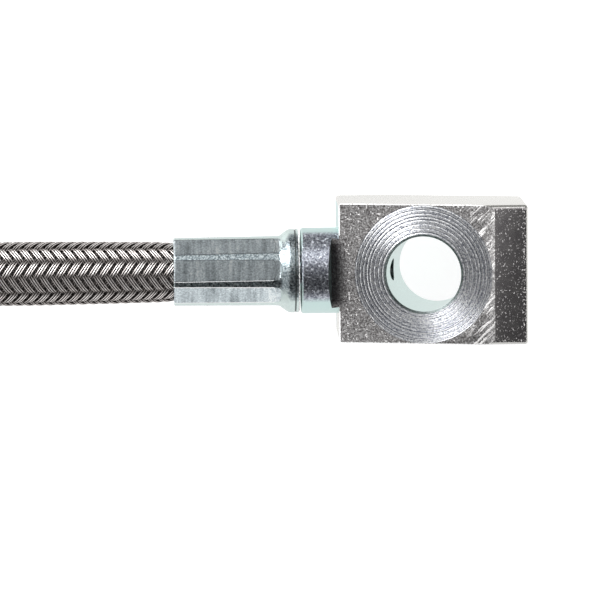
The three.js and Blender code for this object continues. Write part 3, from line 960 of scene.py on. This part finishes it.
def banjo_block(materials):
    """Bar stock with the stem, cut by the washer faces, the bore, the port and the turned rings."""
    to_bore = at_bore()
    block = bar_stock()
    stem = nipple_profile(COLLAR_END_X, COLLAR_DIAMETER / 2, SHOULDER_X + END_ROUND + 2)
    stem.append((stem[-1][0], PASSAGE_DIAMETER / 2))
    port_start = COLLAR_END_X + PORT_WALL
    block = combine(block, turned(stem, 128, closed=True), "UNION")
    half = FACE_SPACING / 2
    wall = (half * math.sin(FACE_ANGLE) - BORE_TO_SHOULDER - FACE_RUNOUT) / math.cos(FACE_ANGLE)
    wide, deep = BLOCK_HEIGHT, BLOCK_DEPTH
    front = block_box((wall, -wide, half), (CUTTER_REACH, wide, half + deep))
    back = block_box((-CUTTER_REACH, -wide, -half - deep), (CUTTER_REACH, wide, -half))
    for cutter in (front, back):
        block = combine(block, placed(cutter, to_bore))
    block = trim_burr(block, to_bore, half)
    radius = BORE_DIAMETER / 2
    over = radius + BORE_CHAMFER + 2
    upright = Matrix.Rotation(-math.pi / 2, 4, "Y")
    bore = [
        (-half - 2, over),
        (-half + BORE_CHAMFER, radius),
        (half - BORE_CHAMFER, radius),
        (half + 2, over),
    ]
    block = combine(block, placed(turned(bore, 160), to_bore @ upright))
    port = [(port_start, PORT_DIAMETER / 2), (BORE_X, PORT_DIAMETER / 2)]
    block = combine(block, turned(port, 48))
    for side in (1, -1):
        for ring_radius in RING_RADII:
            ring = [
                (side * (half - RING_DEPTH), ring_radius),
                (side * (half + RING_DEPTH), ring_radius - RING_WIDTH),
                (side * (half + RING_DEPTH), ring_radius + RING_WIDTH),
            ]
            ring = placed(turned(ring, 160, closed=True), to_bore @ upright)
            block = combine(block, ring)
    zones = block_zones(block, to_bore, half)
    place = Matrix.Translation((0, 0, AXIS_HEIGHT * MM))
    block = finished(block, "banjo_fitting", place, materials, math.radians(22))
    block.data.polygons.foreach_set("material_index", zones)
    return block


def block_zones(block, to_bore, half):
    """Which finish each face has."""
    back = to_bore.inverted()
    turned_limit = RING_RADII[-1] + RING_WIDTH + 0.02
    bore_limit = BORE_DIAMETER / 2 + BORE_CHAMFER + 0.05
    zones = []
    for face in block.data.polygons:
        corners = [back @ block.data.vertices[k].co for k in face.vertices]
        way = back.to_3x3() @ face.normal
        reach = max(math.hypot(c.x, c.y) for c in corners)
        near = min(abs(c.z) for c in corners)
        far = max(abs(c.z) for c in corners)
        from_axis = math.hypot(face.center.y, face.center.z)
        in_bore = reach < bore_limit
        at_rim = in_bore and near > half - BORE_CHAMFER - 0.02 and abs(way.z) > 0.3
        in_port = from_axis < PORT_DIAMETER / 2 + 0.02 and abs(face.normal.x) < 0.1
        on_face = near > half - RING_DEPTH - 0.01 and far < half + 0.01
        on_collar = face.center.x < SHOULDER_X + 0.02 and from_axis < COLLAR_DIAMETER / 2 + 0.1
        # Painted shade in the port and on the bore's rim
        if in_port or at_rim:
            zones.append(PAINTED_SHADE)
        elif in_bore:
            zones.append(BORE)
        elif abs(way.z) > 0.8 and on_face:
            zones.append(SEAT if reach < turned_limit else MILLED)
        elif on_collar:
            zones.append(COLLAR)
        # The burr along the milled edges, with a painted highlight
        elif abs(way.z) > 0.6 and abs(way.y) > 0.6 and near > half - 0.3:
            zones.append(EDGE_HIGHLIGHT)
        else:
            zones.append(BAR)
    return zones


def trim_burr(block, to_bore, half):
    """Takes the sharp side edges off both milled faces with narrow 45 degree cuts."""
    reach = BURR_EDGE * math.sqrt(2)
    for side in (1, -1):
        for face in (1, -1):
            centre = Matrix.Translation((0, side * BLOCK_HEIGHT / 2, face * half))
            turn = Matrix.Rotation(math.pi / 4, 4, "X")
            left, right = BURR_SPAN
            shave = block_box((left, -reach / 2, -reach / 2), (right, reach / 2, reach / 2))
            block = combine(block, placed(shave, to_bore @ centre @ turn))
    return block


# Ferrule


def ferrule(name, place, materials):
    """Crimped ferrule along X from its mouth: eight flats, a ridge between each two, a flared end."""
    around = 240
    angles = [2 * math.pi * k / around for k in range(around)]
    step = 2 * math.pi / CRIMP_JAWS

    def off_flat(angle):
        """Angle from the middle of the nearest flat."""
        return (angle - CRIMP_TURN + step / 2) % step - step / 2

    def flat_and_ridge(along):
        """How far a flat and the ridge beside it are from the axis."""
        share = min(along / FLARE_START, 1.0)
        return CRIMP_FLAT + CRIMP_TAPER * share, RIDGE_RADIUS + RIDGE_TAPER * share

    def outer(along):
        """Radius of the uncrimped tube, and how far the jaws press it at that place."""
        ridge = flat_and_ridge(along)[1]
        if along < LIP_ROUND:
            return ridge - LIP_ROUND + math.sqrt(LIP_ROUND**2 - (LIP_ROUND - along) ** 2), 1.0
        if along < FLARE_START:
            return ridge, 1.0
        if along < FLARE_FULL:
            share = (along - FLARE_START) / (FLARE_FULL - FLARE_START)
            lift = share * share * (3 - 2 * share)
            return ridge + (FLARE_RADIUS - ridge) * lift, 1.0
        return FLARE_RADIUS, 0.0

    def flat_end(from_flat):
        """Where a pressed flat ends; its corners are round."""
        return FLARE_START + 0.45 - 0.55 * (abs(from_flat) / (step / 2 - 0.1)) ** 4

    stations = [0.0, 0.02, 0.05, 0.09, 0.14, 0.2, 0.28, 0.45]
    stations += list(np.linspace(0.8, FLARE_START - 0.2, 26))
    stations += list(np.linspace(FLARE_START - 0.1, FLARE_START + 0.6, 21))
    stations += list(np.linspace(FLARE_START + 0.66, FLARE_FULL, 16))
    groove = FLARE_GROOVE_AT
    rows, jaw_edges = [], []
    for along in stations:
        radius, press = outer(along)
        flat, ridge = flat_and_ridge(along)
        row = []
        for angle in angles:
            from_flat = off_flat(angle)
            end = min(1.0, max(0.0, (flat_end(from_flat) - along) / 0.3))
            share = press * end * end * (3 - 2 * end)
            r = radius + (min(flat / math.cos(from_flat), ridge) - ridge) * share
            row.append((along, r * math.sin(angle), r * math.cos(angle)))
            off_edge = math.degrees(abs(from_flat) - math.acos(flat / ridge))
            jaw_edges.append(off_edge if along < FLARE_START - 0.2 else NO_JAW_LIGHT)
        rows.append(row)
    hole, back_wall = SHANK_DIAMETER / 2 + 0.25, FERRULE_LENGTH - FERRULE_BACK_WALL
    tail = [
        (groove - 0.1, FLARE_RADIUS),
        (groove - 0.04, FLARE_RADIUS - FLARE_GROOVE_DEPTH),
        (groove + 0.04, FLARE_RADIUS - FLARE_GROOVE_DEPTH),
        (groove + 0.1, FLARE_RADIUS),
        (FERRULE_LENGTH - 0.15, FLARE_RADIUS),
        (FERRULE_LENGTH - 0.04, FLARE_RADIUS - 0.05),
        (FERRULE_LENGTH, FLARE_RADIUS - 0.15),
        (FERRULE_LENGTH, hole),
        (back_wall, hole),
        (back_wall, FERRULE_INNER_RADIUS),
        (1.6, FERRULE_INNER_RADIUS),
    ]
    for along, radius in tail + MOUTH_BORE:
        rows.append(ring_points(along, radius, angles))
        jaw_edges += [NO_JAW_LIGHT] * around
    piece = solid(rows, closed_rows=True)
    write_values(piece, jaw_edge=jaw_edges)
    skins = []
    for face in piece.data.polygons:
        from_flat = off_flat(math.atan2(face.center.y, face.center.z))
        flat, ridge = flat_and_ridge(face.center.x)
        before_end = face.center.x < flat_end(from_flat) - 0.2
        pressed = before_end and abs(from_flat) < math.acos(flat / ridge)
        outside = math.hypot(face.center.y, face.center.z) > 5
        # Painted shade in the groove, and a painted highlight on the end edge
        if outside and abs(face.center.x - groove) < 0.11:
            skins.append(GROOVE)
        elif outside and face.center.x > FERRULE_LENGTH - 0.14:
            skins.append(END_EDGE)
        else:
            skins.append(FLAT if pressed else RIDGE)
    piece = finished(piece, name, place, materials, math.radians(28))
    piece.data.polygons.foreach_set("material_index", skins)
    return piece


# Floor, world and lamps


def mixed(tree, share, one, other):
    """From one shader to the other as the share goes from 0 to 1."""
    made = node(tree, "MixShader")
    for k, socket in enumerate((share, one, other)):
        tree.links.new(socket, made.inputs[k])
    return made.outputs[0]


def make_floor():
    """White to the camera, with a faint shadow. Mirrored in the metal it is pale, and darker past +Y."""
    size, centre = 3.0, (-0.05, -0.03)
    corners = [(-1, -1), (1, -1), (1, 1), (-1, 1)]
    points = [(centre[0] + size * x, centre[1] + size * y, -0.0001) for x, y in corners]
    material, tree, shader = new_material("floor", 0.0, 0.9, (0.9, 0.9, 0.9))
    path = node(tree, "LightPath").outputs
    _, parts = row_place(tree)
    seen = node(tree, "AddShader")
    faint = node(tree, "BsdfDiffuse", Color=(FLOOR_SHADE, FLOOR_SHADE, FLOOR_SHADE, 1))
    glow = node(tree, "Emission", Color=(1, 1, 1, 1), Strength=FLOOR_GLOW)
    tree.links.new(faint.outputs[0], seen.inputs[0])
    tree.links.new(glow.outputs[0], seen.inputs[1])
    mirrored = node(tree, "Emission", Color=(1, 1, 1, 1))
    tree.links.new(remap(tree, parts[1], 0.018, 0.034, 0.95, 0.22), mirrored.inputs["Strength"])
    unseen = mixed(tree, path["Is Glossy Ray"], shader.outputs[0], mirrored.outputs[0])
    surface = mixed(tree, path["Is Camera Ray"], unseen, seen.outputs[0])
    tree.links.new(surface, tree.nodes["Material Output"].inputs["Surface"])
    mesh = bpy.data.meshes.new("floor")
    mesh.from_pydata(points, [], [(0, 1, 2, 3)])
    mesh.materials.append(material)
    floor = linked("floor", mesh)


def area_lamp(name, way, distance, size, power):
    """A softbox facing the block; metal mirrors the world's boxes and not the lamps."""
    aim = Vector((0, 0, AXIS_HEIGHT * MM))
    place = aim + Vector(way).normalized() * distance
    lamp = bpy.data.lights.new(name, "AREA")
    lamp.shape = "RECTANGLE"
    lamp.size, lamp.size_y = size
    lamp.energy = power
    thing = linked(name, lamp)
    thing.location = place
    thing.rotation_euler = (place - aim).to_track_quat("Z", "Y").to_euler()
    thing.visible_glossy = False


def make_world():
    """What the metal mirrors: a pale horizon, dark overhead but for two boxes. The camera sees white."""
    world = bpy.data.worlds.new("studio")
    bpy.context.scene.world = world
    world.use_nodes = True
    tree = world.node_tree
    background = tree.nodes["Background"]
    way = node(tree, "TexCoord").outputs["Generated"]
    parts = parts_of(tree, way)
    low = remap(tree, parts["Z"], 0.5, 0.36)
    top = remap(tree, parts["Y"], 0.25, 0.6, 1, 0.2)
    horizon = times(tree, times(tree, low, top), WORLD_BRIGHT)
    slant = maths(tree, "SUBTRACT", times(tree, parts["Y"], 1.3), parts["X"])
    front = remap(tree, slant, -0.12, 0.15, 0, FRONT_GLOW)
    front = times(tree, front, remap(tree, parts["Z"], 0.45, 0.7))
    near_box = vectors(tree, "DOT_PRODUCT", way, TOP_BOX_WAY, output=1)
    box = remap(tree, near_box, 0.925, 0.975, 0, TOP_BOX_GLOW)
    near_key = vectors(tree, "DOT_PRODUCT", way, Vector(KEY_WAY).normalized(), output=1)
    key = remap(tree, near_key, 0.9, 0.97, 0, KEY_GLOW)
    boxes = plus(tree, box, key)
    glow = plus(tree, plus(tree, horizon, front), plus(tree, boxes, WORLD_DARK))
    seen = node(tree, "LightPath").outputs["Is Camera Ray"]
    tree.links.new(maths(tree, "MAXIMUM", glow, seen), background.inputs["Strength"])
    background.inputs["Color"].default_value = (1, 1, 1, 1)


bpy.context.scene.view_settings.view_transform = "Standard"
bpy.context.scene.cycles.denoising_prefilter = "NONE"
make_camera()

# The hose
route = Route(hose_route())
wire = wire_material()
strands = strand_material()
stops = [(0.3, (0.025, 0.023, 0.022)), (0.7, (0.05, 0.047, 0.045))]
black_liner = grainy("liner", 0.0, 0.55, (0.035, 0.033, 0.032), (1500, 3), stops)
hose_end = route.length - INSIDE_FERRULE
liner_radius = HOSE_DIAMETER / 2 - 2 * WIRE_RADIUS - 2 * WEAVE_HEIGHT - LINER_CLEARANCE
liner_angles = 2 * np.pi * np.arange(LINER_SIDES) / LINER_SIDES
liner_at = np.linspace(INSIDE_FERRULE, hose_end, int(route.length / LINER_STEP) + 3)
ring_at, ring_angle = np.meshgrid(liner_at, liner_angles, indexing="ij")
liner_points, _ = route.around(ring_at, ring_angle, liner_radius * MM * squeeze(ring_at))
liner_quads = quads_of_tubes(1, len(liner_at), LINER_SIDES)
liner = quick_mesh("hose_liner", liner_points.reshape(-1, 3), liner_quads, black_liner)
fine_end = FINE_LENGTH * MM
braids = [wire_braid("braid_at_caliper", route, INSIDE_FERRULE, fine_end, wire)]
cuts = np.linspace(fine_end, hose_end, STRAND_PIECES + 1)
for k in range(STRAND_PIECES):
    braids.append(strand_braid(f"braid_{k + 1}", route, cuts[k], cuts[k + 1], strands))

show(liner, ("hose_run", "hose_coil", "hose_tail"))
for braid in braids:
    show(braid)

# The fittings: smooth bore, rolled over burr along the milled edges with a pale painted highlight, and
# painted shade in the ferrule's groove, on the bore rim and in the port
stops = [(0.3, (0.6, 0.74, 0.71)), (0.7, (0.7, 0.85, 0.82))]
bore = grainy("zinc_bore", 1.0, 0.3, (0.66, 0.8, 0.77), (4200, 3), stops, (0.00001, 0.4))
# The burr along the milled edges and the ferrule's end edge: rough, their near-white colour a painted
# highlight
stops = [(0.36, (0.32, 0.32, 0.32)), (0.5, (0.78, 0.78, 0.77)), (0.6, WHITE)]
edges = grainy("zinc_edge_highlight", 0.25, 0.5, (0.95, 0.95, 0.94), (3600, 4), stops, (0.00003, 0.6))
# Painted shade for the port, the bore's rim and the ferrule's groove
stops = [(0.3, (0.08, 0.1, 0.1)), (0.7, (0.3, 0.33, 0.33))]
dark = grainy("zinc_painted_shade", 1.0, 0.4, (0.2, 0.22, 0.22), (4200, 3), stops)
zinc = [bar_material(), milled_material(), turned_material(), bore, collar_material(), edges, dark]
ferrule_zinc = [ferrule_material(), ridge_material(), dark, edges]
block = banjo_block(zinc)
show(block, ("banjo_block",))
caliper_place = Matrix.Translation((MOUTH_X * MM, 0, AXIS_HEIGHT * MM))
caliper_ferrule = ferrule("caliper_ferrule_crimp", caliper_place, ferrule_zinc)
show(caliper_ferrule, ("caliper_ferrule",))
line_x, line_y, line_z = TAIL_ROUTE[-1]
line_place = Matrix.Translation((line_x, line_y - JOINT_GAP * MM, line_z))
line_place = line_place @ Matrix.Rotation(-math.pi / 2, 4, "Z")
line_ferrule = ferrule("line_ferrule_crimp", line_place, ferrule_zinc)
show(line_ferrule, ("line_ferrule",))

# CAD nodes that stay as they are
stops = [(0.35, (0.1, 0.09, 0.09)), (0.65, (0.6, 0.58, 0.57))]
gripped = grainy("braid_gripped", 1.0, 0.4, (0.4, 0.38, 0.37), (3200, 4), stops, (0.00005, 0.6))
for name, material in (
    ("caliper_liner_end", black_liner),
    ("caliper_braid_end", gripped),
    ("line_liner_end", black_liner),
    ("line_braid_end", gripped),
    ("hose_tie", tie_material()),
    ("line_fitting", fitting_material()),
):
    dress(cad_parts[name].data, material)

make_floor()
make_world()
area_lamp("key", KEY_WAY, 0.6, (0.26, 0.26), KEY_POWER)
area_lamp("fill", (0.1, -0.2, 1), 1.2, (1.2, 1.2), FILL_POWER)
